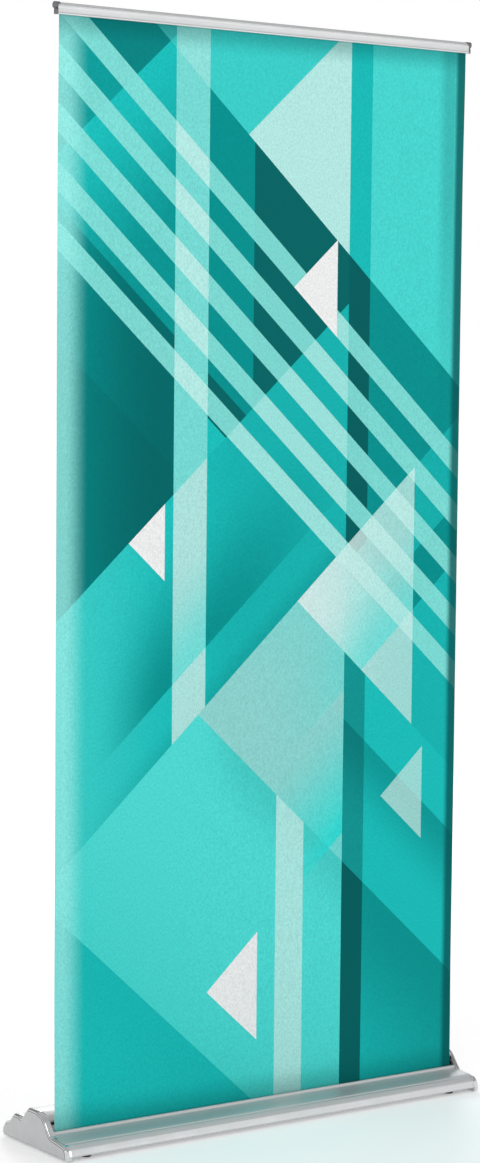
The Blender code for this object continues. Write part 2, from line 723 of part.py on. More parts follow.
# ---------------------------------------------------------------- snap rail
# The rear jaw ends in a channel and the front jaw in a rod that turns in it; the front jaw's skin
# carries on the channel's round outside, and starts far enough under it to let the jaw open.
CHANNEL_INNER = BULB_RADIUS - 0.0013
ROD_RADIUS = CHANNEL_INNER - GAP
CHANNEL_END = 168               # degrees round the bulb, from the rear over the top
SKIN_START = 197
LIP_REACH = BANNER_THICKNESS / 2 + GAP
JAW_WALL = 0.0015
END_THICKNESS = 0.0035
KNOB_RADIUS = BULB_RADIUS + 0.0009
KNOB_STAND = 0.0022             # how far the knob stands out past the end cap's leg
HOOD_LENGTH = 0.0045            # the knob's hood over the rail
NECK_Z = -BULB_RADIUS - 0.0010  # under the channel, where the jaws' necks end
foot = RAIL_BOTTOM - BULB_Z     # the jaws' lower ends, from the bulb's centre
jaw_axis = new_empty("jaw_axis", stand, (0, 0, BULB_Z))
rail_axis = new_empty("rail_axis", stand, (0, 0, BULB_Z))

rear_outline = rounded(
    corners_of(arc((0, 0), BULB_RADIUS, -52, CHANNEL_END, 18))
    + corners_of(arc((0, 0), CHANNEL_INNER, CHANNEL_END, -76, 16))
    + [
        (JAW_OUTER - JAW_WALL - 0.0006, NECK_Z - 0.0003, 0.0010),
        (JAW_OUTER - JAW_WALL, foot + 0.0040, 0.0010),
        (LIP_REACH, foot + 0.0022, 0.0004),
        (LIP_REACH, foot, 0.0004),
        (JAW_OUTER - 0.0004, foot, 0.0008),
        (JAW_OUTER, NECK_Z, 0.0015),
    ],
    steps=2,
)
new_object("rail_rear_jaw", prism(rear_outline, -RAIL_HALF, RAIL_HALF), rail_axis)

skin = arc((0, 0), BULB_RADIUS, SKIN_START, SKIN_START + 8, 2)
front_outline = rounded(
    corners_of(arc((0, 0), ROD_RADIUS, -90, SKIN_START, 18))
    + corners_of(skin)
    + [
        (-BULB_RADIUS + 0.0004, NECK_Z, 0.0040),
        (-BULB_RADIUS + 0.0007, foot + 0.0034, 0.0010),
        (-BULB_RADIUS - 0.0003, foot + 0.0026, 0.0006),
        (-BULB_RADIUS - 0.0003, foot, 0.0006),
        (-LIP_REACH, foot, 0.0004),
        (-LIP_REACH, foot + 0.0022, 0.0004),
        (-JAW_OUTER + JAW_WALL, foot + 0.0040, 0.0010),
        (-JAW_OUTER + JAW_WALL + 0.0004, NECK_Z - 0.0021, 0.0010),
        (-0.0014, NECK_Z + 0.0001, 0.0008),
    ],
    steps=2,
)
new_object("rail_front_jaw", prism(front_outline, -RAIL_HALF, RAIL_HALF), jaw_axis)

knob_outline = arc((0, 0), KNOB_RADIUS, 0, 360 - 18, 19)
hood_outline = arc((0, 0), KNOB_RADIUS, -36, 162, 11)
hood_outline += arc((0, 0), BULB_RADIUS + GAP, 162, -36, 11)
rear_leg = rounded([
    (0.0004, NECK_Z + 0.0030, 0),
    (JAW_OUTER + 0.0002, NECK_Z + 0.0030, 0),
    (JAW_OUTER + 0.0002, foot, 0.0006),
    (0.0004, foot, 0.0004),
], steps=2)
front_leg = rounded([
    (-0.0004, foot, 0.0004),
    (-0.0004, NECK_Z - 0.0005, 0.0003),
    (-BULB_RADIUS + 0.0002, NECK_Z - 0.0005, 0.0006),
    (-BULB_RADIUS - 0.0004, foot, 0.0006),
], steps=2)
for label, side in (("left", -1), ("right", 1)):
    start = RAIL_HALF + GAP
    low_x, high_x = sorted((side * start, side * (start + END_THICKNESS)))
    cap = new_object(f"rail_end_cap_{label}", prism(rear_leg, low_x, high_x), rail_axis, finish="dark_plastic")
    knob_low, knob_high = sorted((side * start, side * (start + END_THICKNESS + KNOB_STAND)))
    knob = new_object(f"knob_{label}", prism(knob_outline, knob_low, knob_high), rail_axis, finish=None)
    hood_low, hood_high = sorted((side * (start - HOOD_LENGTH), side * (start + END_THICKNESS / 2)))
    hood = new_object(f"hood_{label}", prism(hood_outline, hood_low, hood_high), rail_axis, finish=None)
    combine(cap, knob, "UNION")
    combine(cap, hood, "UNION")
    new_object(f"jaw_end_cap_{label}", prism(front_leg, low_x, high_x), jaw_axis, finish="dark_plastic")

# ---------------------------------------------------------------- banner
banner_top = BULB_Z - BULB_RADIUS - 0.0010
new_object(
    "banner",
    block((-BANNER_WIDTH / 2, -BANNER_THICKNESS / 2, ROLLER_Z), (BANNER_WIDTH / 2, BANNER_THICKNESS / 2, banner_top)),
    stand, finish="print",
)
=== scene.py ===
# %% [markdown]
# # Roll-up banner stand: the looks
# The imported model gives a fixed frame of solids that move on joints. This lesson dresses it: the
# metal gets drawn, anodised and plated finishes, the plain banner becomes a printed sheet of film,
# and the mouldings that a flat solid shows too roughly are modelled again with finer curves.

# %% Load the frame
import json
import math

import bmesh
import bpy
from mathutils import Matrix, Vector


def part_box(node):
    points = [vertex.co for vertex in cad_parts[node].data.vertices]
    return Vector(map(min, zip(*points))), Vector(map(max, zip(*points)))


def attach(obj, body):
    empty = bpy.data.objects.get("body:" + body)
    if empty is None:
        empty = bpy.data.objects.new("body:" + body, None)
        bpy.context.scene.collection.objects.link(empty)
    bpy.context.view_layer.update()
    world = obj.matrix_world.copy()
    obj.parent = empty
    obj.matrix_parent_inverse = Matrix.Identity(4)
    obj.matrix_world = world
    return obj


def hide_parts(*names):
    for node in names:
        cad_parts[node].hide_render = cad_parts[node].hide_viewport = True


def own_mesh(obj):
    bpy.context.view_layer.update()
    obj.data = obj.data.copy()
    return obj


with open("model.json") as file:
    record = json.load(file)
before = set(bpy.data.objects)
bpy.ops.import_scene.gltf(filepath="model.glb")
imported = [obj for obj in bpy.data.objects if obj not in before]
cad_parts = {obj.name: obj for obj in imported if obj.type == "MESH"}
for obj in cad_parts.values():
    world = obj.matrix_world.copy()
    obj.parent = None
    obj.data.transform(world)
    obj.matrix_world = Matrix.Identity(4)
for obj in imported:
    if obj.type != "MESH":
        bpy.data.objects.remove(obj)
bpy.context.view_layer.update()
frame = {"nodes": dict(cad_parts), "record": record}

# %% [markdown]
# Everything is placed from a few measures of the frame: the plane that the banner hangs in, its
# left and right edges, and where it leaves the roller and enters the rail.

# %% Measure the frame
banner_low, banner_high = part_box("banner")
BANNER_PLANE = (banner_low[1] + banner_high[1]) / 2
BANNER_WIDTH = banner_high[0] - banner_low[0]
BANNER_LEFT = banner_low[0]
RAIL_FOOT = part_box("rail_rear_jaw")[0][2]
LIP_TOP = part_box("front_apron")[1][2]
print(f"banner {BANNER_WIDTH:.3f} m wide, {RAIL_FOOT - LIP_TOP:.3f} m of it visible")

# %% [markdown]
# ## Camera
# The stand is seen from its left, a little above its middle, with a long lens. The lens is shifted
# up slightly, so the upright edges stay nearly parallel.

# %% Camera
LENS = 87.45                    # mm, on a sensor 36 mm high
SHIFT = (-0.00028, 0.03662)
YAW, PITCH, ROLL = (math.radians(a) for a in (35.086, 4.879, -0.554))
STAND_POINT = Vector((-3.0539, BANNER_PLANE - 4.2629, 1.3839))

camera_data = bpy.data.cameras.new("camera")
camera_data.sensor_width = 36
camera_data.lens = LENS
camera_data.shift_x, camera_data.shift_y = SHIFT
camera = bpy.data.objects.new("camera", camera_data)
turn = Matrix.Rotation(-YAW, 4, "Z") @ Matrix.Rotation(math.pi / 2 - PITCH, 4, "X")
camera.matrix_world = Matrix.Translation(STAND_POINT) @ turn @ Matrix.Rotation(-ROLL, 4, "Z")
bpy.context.scene.collection.objects.link(camera)
bpy.context.scene.camera = camera
print("camera stands", round((STAND_POINT - Vector((0, BANNER_PLANE, 1.0))).length, 2), "m away")

# %% [markdown]
# ## Studio
# A satin metal shows what stands around it, so the studio is what gives the base its light and dark
# bands. The walls are bright, the ceiling is dimmer, and a dark gap between them draws the fine dark
# lines on plated edges. Large soft lamps, high on the left, low in front and behind, do the rest.

# %% Floor
SHARP_FROM = math.radians(32)   # an edge steeper than this stays a corner


def plain_material(name, colour, roughness, metallic=0.0):
    """A Principled material with nothing varied yet; returns it and its shader."""
    material = bpy.data.materials.new(name)
    material.use_nodes = True
    shader = material.node_tree.nodes["Principled BSDF"]
    shader.inputs["Base Color"].default_value = (*colour, 1.0)
    shader.inputs["Roughness"].default_value = roughness
    shader.inputs["Metallic"].default_value = metallic
    return material, shader


def mesh_piece(name, bm, *materials):
    """The bmesh as an object at the origin, shaded smooth except over its sharp edges."""
    mesh = bpy.data.meshes.new(name)
    bm.to_mesh(mesh)
    bm.free()
    mesh.shade_smooth()
    mesh.set_sharp_from_angle(angle=SHARP_FROM)
    for material in materials:
        mesh.materials.append(material)
    piece = bpy.data.objects.new(name, mesh)
    bpy.context.scene.collection.objects.link(piece)
    return piece


# The floor is a light table: it glows a little near the stand, so the shadow on it stays soft, and
# more with distance, so that it meets the sky without an edge.
floor_finish, floor_shader = plain_material("studio_floor", (0.93, 0.93, 0.93), 0.7)
floor_shader.inputs["Emission Color"].default_value = (1, 1, 1, 1)
floor_tree = floor_finish.node_tree
floor_place = floor_tree.nodes.new("ShaderNodeTexCoord")
distance = floor_tree.nodes.new("ShaderNodeVectorMath")
distance.operation = "LENGTH"
floor_glow = floor_tree.nodes.new("ShaderNodeMapRange")
floor_glow.interpolation_type = "SMOOTHSTEP"
GLOW = {"From Min": 1.0, "From Max": 6.0, "To Min": 0.24, "To Max": 0.48}      # metres, strength
for side, value in GLOW.items():
    floor_glow.inputs[side].default_value = value
floor_tree.links.new(floor_place.outputs["Object"], distance.inputs[0])
floor_tree.links.new(distance.outputs["Value"], floor_glow.inputs["Value"])
floor_tree.links.new(floor_glow.outputs["Result"], floor_shader.inputs["Emission Strength"])
floor_mesh = bmesh.new()
bmesh.ops.create_grid(floor_mesh, x_segments=1, y_segments=1, size=80)
floor = mesh_piece("studio_floor", floor_mesh, floor_finish)

# %% Sky and lamps
world = bpy.data.worlds.new("studio")
world.use_nodes = True
bpy.context.scene.world = world
sky = world.node_tree
height = sky.nodes.new("ShaderNodeTexCoord")
split = sky.nodes.new("ShaderNodeSeparateXYZ")
tones = sky.nodes.new("ShaderNodeValToRGB")
SKY_TONES = [(0.0, 1.0), (0.20, 1.0), (0.40, 0.90), (0.50, 0.29), (0.66, 0.29), (0.76, 0.69), (1.0, 0.53)]
while len(tones.color_ramp.elements) < len(SKY_TONES):
    tones.color_ramp.elements.new(0.5)
for stop, (position, tone) in zip(tones.color_ramp.elements, SKY_TONES):
    stop.position = position
    stop.color = (tone, tone, tone, 1)
sky.links.new(height.outputs["Generated"], split.inputs[0])
sky.links.new(split.outputs["Z"], tones.inputs["Fac"])
sky.links.new(tones.outputs["Color"], sky.nodes["Background"].inputs["Color"])
bpy.context.scene.view_settings.view_transform = "Standard"


def soft_lamp(name, place, aim, size, power):
    """A square lamp at a place, turned to face a point."""
    data = bpy.data.lights.new(name, "AREA")
    data.size = size
    data.energy = power
    lamp = bpy.data.objects.new(name, data)
    lamp.location = place
    lamp.rotation_euler = (Vector(aim) - Vector(place)).to_track_quat("-Z", "Y").to_euler()
    bpy.context.scene.collection.objects.link(lamp)


soft_lamp("lamp_left", (-3.2, -2.6, 3.0), (0, 0, 0.9), 2.2, 38)
soft_lamp("lamp_front", (2.2, -3.6, 1.6), (0, 0, 0.9), 1.8, 19)
soft_lamp("lamp_rear", (2.4, 3.6, 2.4), (0, 0, 0.9), 1.6, 50)

# %% [markdown]
# ## Metal finishes
# Extruded aluminium comes out of its die with fine lines along its length, and anodising leaves it
# satin. The lines can be modelled, but they are far finer than any mesh. Here a noise pattern is
# stretched a thousandfold along the extrusion, and drives the gloss, a trace of colour and a very
# shallow bump. The same recipe, turned, gives the drawn tubes of the pole.

# %% Node helpers
def add_node(tree, kind, **values):
    """A node of that kind; values go to its properties, or to inputs that have that name."""
    node = tree.nodes.new(kind)
    for key, value in values.items():
        if hasattr(node, key):
            setattr(node, key, value)
        else:
            node.inputs[key.replace("_", " ").title()].default_value = value
    return node


def pattern(tree, stretch, scale, detail=3.0):
    """Noise on the piece's own coordinates; stretch is a scale factor for each axis."""
    where = add_node(tree, "ShaderNodeTexCoord")
    mapping = add_node(tree, "ShaderNodeMapping")
    mapping.inputs["Scale"].default_value = stretch
    noise = add_node(tree, "ShaderNodeTexNoise", scale=scale, detail=detail)
    tree.links.new(where.outputs["Object"], mapping.inputs["Vector"])
    tree.links.new(mapping.outputs["Vector"], noise.inputs["Vector"])
    return noise.outputs["Fac"]


def ranged(tree, value, low, high, from_low=0.3, from_high=0.7):
    """A value spread over another range, and held inside it."""
    node = add_node(tree, "ShaderNodeMapRange")
    for name, number in (("From Min", from_low), ("From Max", from_high), ("To Min", low), ("To Max", high)):
        node.inputs[name].default_value = number
    tree.links.new(value, node.inputs["Value"])
    return node.outputs["Result"]


def mixed(tree, factor, first, second):
    """A colour between two; each is a socket or a plain colour, and so is the factor or a number."""
    node = add_node(tree, "ShaderNodeMix", data_type="RGBA")
    for socket, value in ((node.inputs[0], factor), (node.inputs[6], first), (node.inputs[7], second)):
        if isinstance(value, bpy.types.NodeSocket):
            tree.links.new(value, socket)
        else:
            socket.default_value = (*value, 1.0) if isinstance(value, tuple) else value
    return node.outputs[2]


def bumped(tree, shader, value, depth):
    """A bump of that depth in metres."""
    node = add_node(tree, "ShaderNodeBump")
    node.inputs["Strength"].default_value = 1.0
    node.inputs["Distance"].default_value = depth
    tree.links.new(value, node.inputs["Height"])
    tree.links.new(node.outputs["Normal"], shader.inputs["Normal"])


# %% Drawn and plated metals
ALONG_X = (1, 700, 700)
ALONG_Z = (700, 700, 1)
OXIDE_METALLIC = 0.45
LINES_SHARE = 0.7               # the rest of the variation is faint smudges


def drawn_metal(name, colour, gloss, stretch):
    """Anodised metal with lines along its length; gloss is the range of its roughness.

    The oxide layer scatters part of the light, so the finish isn't wholly metallic."""
    material, shader = plain_material(name, colour, gloss[0], OXIDE_METALLIC)
    tree = material.node_tree
    lines = pattern(tree, stretch, 2.0, 4.0)
    smudges = pattern(tree, (1, 1, 1), 22.0, 2.0)
    dull = tuple(c * 0.93 for c in colour)
    both = add_node(tree, "ShaderNodeMath", operation="MULTIPLY_ADD")
    both.inputs[1].default_value = LINES_SHARE
    tree.links.new(lines, both.inputs[0])
    faint = add_node(tree, "ShaderNodeMath", operation="MULTIPLY")
    faint.inputs[1].default_value = 1 - LINES_SHARE
    tree.links.new(smudges, faint.inputs[0])
    tree.links.new(faint.outputs[0], both.inputs[2])
    tree.links.new(ranged(tree, both.outputs[0], *gloss), shader.inputs["Roughness"])
    shades = mixed(tree, ranged(tree, both.outputs[0], 0, 1), colour, dull)
    tree.links.new(shades, shader.inputs["Base Color"])
    bumped(tree, shader, lines, 0.000012)
    return material


def plated_metal(name, colour, gloss, grain_scale, depth):
    """Metal with an even, cloudy gloss, as plating and zinc have."""
    material, shader = plain_material(name, colour, gloss[0], 1.0)
    tree = material.node_tree
    cloud = pattern(tree, (1, 1, 1), grain_scale, 5.0)
    dull = tuple(c * 0.86 for c in colour)
    tree.links.new(ranged(tree, cloud, *gloss), shader.inputs["Roughness"])
    tree.links.new(mixed(tree, ranged(tree, cloud, 0, 1), colour, dull), shader.inputs["Base Color"])
    bumped(tree, shader, pattern(tree, (1, 1, 1), grain_scale * 12, 2.0), depth)
    return material


extruded = drawn_metal("anodised_extrusion", (0.60, 0.605, 0.61), (0.36, 0.50), ALONG_X)
drawn_tube = drawn_metal("anodised_tube", (0.58, 0.585, 0.59), (0.34, 0.46), ALONG_Z)
chrome = plated_metal("satin_chrome", (0.68, 0.69, 0.70), (0.07, 0.15), 45.0, 0.000004)
zinc = plated_metal("zinc_steel", (0.56, 0.57, 0.59), (0.30, 0.48), 140.0, 0.000015)
spring_steel = plated_metal("spring_steel", (0.33, 0.33, 0.36), (0.26, 0.42), 120.0, 0.00001)

# %% [markdown]
# ## Mouldings, rubber and painted plastic
# Moulded parts have a fine spark-eroded texture that breaks up their gloss, and rubber is dull with
# a trace of dust. The flat faces of the end caps are moulded too, but sprayed silver.

# %% Plastics and rubber
def moulded(name, colour, gloss, grain_scale, depth, metallic=0.0):
    """Moulded plastic: a fine grain in bump, and faint cloudiness in colour and gloss."""
    material, shader = plain_material(name, colour, gloss[0], metallic)
    tree = material.node_tree
    grain = pattern(tree, (1, 1, 1), grain_scale, 2.0)
    cloud = pattern(tree, (1, 1, 1), 60.0, 3.0)
    worn = tuple(min(1.0, c * 1.08 + 0.003) for c in colour)
    tree.links.new(ranged(tree, cloud, *gloss), shader.inputs["Roughness"])
    tree.links.new(mixed(tree, ranged(tree, cloud, 0, 1), colour, worn), shader.inputs["Base Color"])
    bumped(tree, shader, grain, depth)
    return material


dark_plastic = moulded("dark_plastic", (0.115, 0.118, 0.122), (0.36, 0.50), 1600.0, 0.00003)
rubber = moulded("foot_rubber", (0.018, 0.018, 0.018), (0.72, 0.9), 900.0, 0.00005)
silver_paint = moulded("silver_paint", (0.50, 0.505, 0.51), (0.34, 0.44), 2400.0, 0.00001, 0.5)

# %% [markdown]
# ## Finishes on the solids
# Most of the solids have the right shape and stay. Their meshes are loose triangles, which would
# show each facet of a curve. A small group of geometry nodes joins them and marks only the real
# corners as sharp, and leaves the mesh data itself alone.

# %% Smooth curves, sharp corners
JOIN_DISTANCE = 0.00001


def smoothing_group():
    """Geometry nodes that join loose triangles and shade them smooth up to real corners."""
    group = bpy.data.node_groups.new("smooth_curves", "GeometryNodeTree")
    for way in ("INPUT", "OUTPUT"):
        group.interface.new_socket("Geometry", in_out=way, socket_type="NodeSocketGeometry")
    start, end = group.nodes.new("NodeGroupInput"), group.nodes.new("NodeGroupOutput")
    join = group.nodes.new("GeometryNodeMergeByDistance")
    join.inputs["Distance"].default_value = JOIN_DISTANCE
    smooth = group.nodes.new("GeometryNodeSetShadeSmooth")
    corners = group.nodes.new("GeometryNodeSetShadeSmooth")
    corners.domain = "EDGE"
    corners.inputs["Shade Smooth"].default_value = False
    angle = group.nodes.new("GeometryNodeInputMeshEdgeAngle")
    steep = group.nodes.new("FunctionNodeCompare")
    steep.operation = "GREATER_THAN"
    steep.inputs["B"].default_value = SHARP_FROM
    group.links.new(start.outputs[0], join.inputs["Geometry"])
    group.links.new(join.outputs[0], smooth.inputs["Geometry"])
    group.links.new(smooth.outputs[0], corners.inputs["Geometry"])
    group.links.new(angle.outputs["Unsigned Angle"], steep.inputs["A"])
    group.links.new(steep.outputs["Result"], corners.inputs["Selection"])
    group.links.new(corners.outputs[0], end.inputs[0])
    return group


smooth_curves = smoothing_group()
FINISHES = {
    "anodised_aluminium": extruded,
    "cap_chrome": chrome,
    "zinc_steel": zinc,
    "spring_steel": spring_steel,
    "foot_rubber": rubber,
}
EDGE_ROUNDS = {"pole_head": 0.0014, "rail_hook": 0.0008, "pole_socket": 0.0004}
BEVEL_FROM = math.radians(40)   # corners steeper than this get rounded


def finish_of(row):
    """The pole's tubes are drawn along their height; the rest follow their material slot."""
    if row["node"].startswith("pole_") and row["material_slot"] == "anodised_aluminium":
        return drawn_tube
    return FINISHES.get(row["material_slot"], dark_plastic)


for row in frame["record"]["subparts"]:
    solid = frame["nodes"][row["node"]]
    for material_slot in solid.material_slots:
        material_slot.material = finish_of(row)
    if row["node"] in EDGE_ROUNDS:
        solid.modifiers.new("join", "WELD").merge_threshold = JOIN_DISTANCE
        rounding = solid.modifiers.new("round_edges", "BEVEL")
        rounding.width = EDGE_ROUNDS[row["node"]]
        rounding.segments = 3
        rounding.angle_limit = BEVEL_FROM
    solid.modifiers.new("smooth_curves", "NODES").node_group = smooth_curves
print(len(frame["nodes"]), "solids dressed")

# %% [markdown]
# ## The print
# The film carries a made-up print of plain bands and triangles in teal and mint. It could be an
# image, but a procedural print stays sharp at any size. Every edge of it follows one of three sets
# of ruled lines: upright, falling to the right and rising to the right. So each shape is a range on
# one, two or three rulers, and is laid over those before it. Lengths are shares of the width.

# %% Rulers for the print
def shade_of(red, green, blue):
    """A screen colour from 0 to 255 as the linear values that a shader takes."""
    return tuple(
        c / 12.92 if c <= 0.04045 else ((c + 0.055) / 1.055) ** 2.4
        for c in (red / 255, green / 255, blue / 255)
    )


SLOPE = 0.90                    # fall of the slanting lines for each step across
PRINT_LENGTH = (RAIL_FOOT - LIP_TOP) / BANNER_WIDTH
TEAL, DEEP, INK = shade_of(26, 190, 187), shade_of(0, 138, 136), shade_of(0, 84, 84)
AQUA, MINT, PALE = shade_of(84, 221, 215), shade_of(132, 224, 217), shade_of(194, 236, 231)
GREY_MINT, CYAN, PAPER = shade_of(146, 210, 206), shade_of(40, 218, 213), shade_of(238, 238, 238)
# a pale mint for the painted highlight down the film's left edge
PAINTED_EDGE_SHEEN = shade_of(160, 242, 236)

banner_print, print_shader = plain_material("banner_print", TEAL, 0.55)
print_tree = banner_print.node_tree


def sum_of(first, second, factor):
    """first + second * factor, as a socket."""
    node = add_node(print_tree, "ShaderNodeMath", operation="MULTIPLY_ADD")
    node.inputs[1].default_value = factor
    print_tree.links.new(second, node.inputs[0])
    if isinstance(first, bpy.types.NodeSocket):
        print_tree.links.new(first, node.inputs[2])
    else:
        node.inputs[2].default_value = first
    return node.outputs[0]


print_place = add_node(print_tree, "ShaderNodeTexCoord")
print_split = add_node(print_tree, "ShaderNodeSeparateXYZ")
print_tree.links.new(print_place.outputs["Object"], print_split.inputs[0])
across = sum_of(-BANNER_LEFT / BANNER_WIDTH, print_split.outputs["X"], 1 / BANNER_WIDTH)
down = sum_of(RAIL_FOOT / BANNER_WIDTH, print_split.outputs["Z"], -1 / BANNER_WIDTH)
falling = sum_of(down, across, -SLOPE)
rising = sum_of(down, across, SLOPE)
RULERS = {"across": across, "down": down, "falling": falling, "rising": rising}

# %% Laying shapes
FAR = 5.0


def times(first, second):
    """The product of two values, each a socket or a number."""
    node = add_node(print_tree, "ShaderNodeMath", operation="MULTIPLY")
    for socket, value in zip(node.inputs, (first, second)):
        if isinstance(value, bpy.types.NodeSocket):
            print_tree.links.new(value, socket)
        else:
            socket.default_value = value
    return node.outputs[0]


def within(ruler, low, high):
    """1 where the ruler's value lies between two marks, and 0 elsewhere."""
    node = add_node(print_tree, "ShaderNodeMath", operation="COMPARE")
    node.inputs[1].default_value = (low + high) / 2
    node.inputs[2].default_value = (high - low) / 2
    print_tree.links.new(RULERS[ruler], node.inputs[0])
    return node.outputs[0]


def fade(ruler, full, none):
    """1 at the first mark, falling evenly to 0 at the second."""
    node = add_node(print_tree, "ShaderNodeMapRange", interpolation_type="SMOOTHSTEP")
    low, high = min(full, none), max(full, none)
    node.inputs["From Min"].default_value = low
    node.inputs["From Max"].default_value = high
    node.inputs["To Min"].default_value = 1.0 if full < none else 0.0
    node.inputs["To Max"].default_value = 0.0 if full < none else 1.0
    print_tree.links.new(RULERS[ruler], node.inputs["Value"])
    return node.outputs["Result"]


ink = TEAL


def lay(colour, amount=1.0, fades=(), **ranges):
    """Lays a shape over what is there; ranges are ruler=(low, high), fades are (ruler, full, none)."""
    global ink
    mask = None
    for part in [within(r, *marks) for r, marks in ranges.items()] + [fade(*f) for f in fades]:
        mask = part if mask is None else times(mask, part)
    ink = mixed(print_tree, times(mask, amount), ink, colour)


# %% Large areas
CORNER_EDGE, RIDGE, SECOND_RIDGE = 0.26, 1.16, 1.66         # rising edges, from the top down
SHADOW_LINE, RIGHT_STEP, ACCENT, ACCENT_FOOT = 1.54, 1.84, 1.96, 2.26
UPPER_EDGE, VALLEY, LOW_EDGE = -0.20, 1.06, 1.74            # falling edges, from the top down
DEEP_LEVEL, STRIPES_END, TRIANGLE_FOOT, RIGHT_FOLD = 0.36, 0.45, 0.62, 0.76
PALE_BAND, DARK_BAND, LOW_BAND = (0.27, 0.35), (0.70, 0.755), (0.53, 0.60)
STEP_EDGE = 0.46
LEFT_PART, RIGHT_PART = (-0.1, PALE_BAND[0]), (DARK_BAND[1], 1.1)
MIDDLE, INNER = (0.1, DARK_BAND[0]), (PALE_BAND[1], DARK_BAND[0])
UNDER_RIDGE, BELOW = (-FAR, RIDGE), (SECOND_RIDGE, FAR)
BETWEEN_RIDGES, SHADED = (RIDGE, SECOND_RIDGE), (RIDGE, SHADOW_LINE)

# behind the stripes, left of the pale band: a deep corner, then teal that darkens to the right
lay(DEEP, 0.70, rising=(-FAR, CORNER_EDGE))
lay(INK, 0.45, rising=(-FAR, CORNER_EDGE), falling=(-FAR, -0.06))
lay(DEEP, 0.85, [("rising", 0.65, 0.25)], across=LEFT_PART, rising=(CORNER_EDGE, RIDGE))
lay(DEEP, 0.95, [("across", 0.20, -0.1)], across=LEFT_PART, falling=(DEEP_LEVEL, FAR), rising=UNDER_RIDGE)
lay(INK, 0.72, [("across", 0.24, -0.05)], across=LEFT_PART, falling=(DEEP_LEVEL, FAR), rising=UNDER_RIDGE)
lay(INK, 0.22, across=LEFT_PART, falling=(TRIANGLE_FOOT, FAR), rising=UNDER_RIDGE)

# and between the pale band and the dark band
lay(DEEP, 0.92, across=(PALE_BAND[1], STEP_EDGE), falling=(UPPER_EDGE, DEEP_LEVEL), rising=UNDER_RIDGE)
lay(INK, 0.92, across=(PALE_BAND[1], STEP_EDGE), falling=(DEEP_LEVEL, STRIPES_END), rising=UNDER_RIDGE)
lay(INK, 0.92, across=(STEP_EDGE, DARK_BAND[0]), falling=(UPPER_EDGE, STRIPES_END), rising=UNDER_RIDGE)
lay(AQUA, 0.45, across=MIDDLE, falling=(-FAR, UPPER_EDGE))
lay(PALE, 0.84, across=MIDDLE, falling=(-FAR, UPPER_EDGE), rising=(0.60, FAR))

# right of the dark band
lay(AQUA, 0.72, across=RIGHT_PART, falling=(-FAR, UPPER_EDGE))
lay(DEEP, 0.92, across=RIGHT_PART, falling=(UPPER_EDGE, STRIPES_END), rising=(-FAR, SECOND_RIDGE))
lay(DEEP, 0.35, across=RIGHT_PART, falling=(-0.1, DEEP_LEVEL), rising=(SECOND_RIDGE, RIGHT_STEP))
lay(DEEP, 0.95, across=RIGHT_PART, falling=(0.0, STRIPES_END), rising=(RIGHT_STEP, ACCENT))
lay(DEEP, 0.22, across=RIGHT_PART, falling=(0.1, TRIANGLE_FOOT), rising=(ACCENT, FAR))
lay(DEEP, 0.75, [("falling", RIGHT_FOLD, 0.96)], across=(DARK_BAND[0], 1.1), falling=(RIGHT_FOLD, VALLEY))
lay(DEEP, 0.85, [("falling", VALLEY, 1.6)], across=(DARK_BAND[0], 1.1), falling=(VALLEY, FAR))

# between the two ridges: a soft shadow that ends on a line, and a thin one over the second ridge
lay(AQUA, 0.42, [("across", 0.0, 0.3)], across=(-0.1, 0.3), rising=BETWEEN_RIDGES)
lay(DEEP, 0.28, [("across", 0.45, 0.25)], across=(0.2, DARK_BAND[0]), rising=BETWEEN_RIDGES)
SHADOW_LEFT = [("rising", SHADOW_LINE, 1.22), ("across", 0.25, 0.08)]
SHADOW_RIGHT = [("rising", SHADOW_LINE, 1.26), ("across", 0.35, 0.75)]
THIN_SHADOW = [("rising", SECOND_RIDGE, 1.60), ("across", 0.30, 0.0)]
lay(DEEP, 0.90, SHADOW_LEFT, across=(0, 0.3), rising=SHADED)
lay(DEEP, 0.90, SHADOW_RIGHT, across=(0.3, 0.7), rising=SHADED)
lay(INK, 0.22, THIN_SHADOW, across=(0, 0.7), rising=BETWEEN_RIDGES)

# below the second ridge: the grey-mint square with a bright accent across it
SQUARE = {"across": MIDDLE, "falling": (-FAR, VALLEY)}
LEFT_OF_DARK = (-0.1, DARK_BAND[0])
SQUARE_SHADOW = [("falling", VALLEY, 1.22), ("across", 0.45, 0.32)]
lay(AQUA, 0.92, [("falling", 1.2, 2.7)], across=LEFT_OF_DARK, falling=(VALLEY, LOW_EDGE), rising=BELOW)
lay(DEEP, 0.24, SQUARE_SHADOW, across=MIDDLE, falling=(VALLEY, 1.22), rising=BELOW)
lay(AQUA, 0.85, rising=BELOW, **SQUARE)
lay(GREY_MINT, 0.88, [("falling", 1.00, 0.35)], rising=(SECOND_RIDGE, ACCENT), **SQUARE)
lay(GREY_MINT, 0.45, [("rising", 1.76, ACCENT)], rising=(SECOND_RIDGE, ACCENT), **SQUARE)
lay(GREY_MINT, 0.88, [("rising", ACCENT, 2.22)], rising=(ACCENT, ACCENT_FOOT), **SQUARE)
ACCENT_START = 2.17
ACCENT_GLOW = [("rising", ACCENT_FOOT, ACCENT_START), ("falling", 0.98, 1.3)]
lay(CYAN, 0.85, ACCENT_GLOW, across=(0.45, 0.7), rising=(ACCENT_START, ACCENT_FOOT))
lay(GREY_MINT, 0.40, rising=(ACCENT_FOOT, FAR), **SQUARE)
lay(GREY_MINT, 0.45, across=(0.50, 0.70), falling=(TRIANGLE_FOOT, RIGHT_FOLD), rising=(ACCENT, FAR))
lay(DEEP, 0.12, [("falling", LOW_EDGE, 2.0)], across=LEFT_OF_DARK, falling=(LOW_EDGE, FAR))

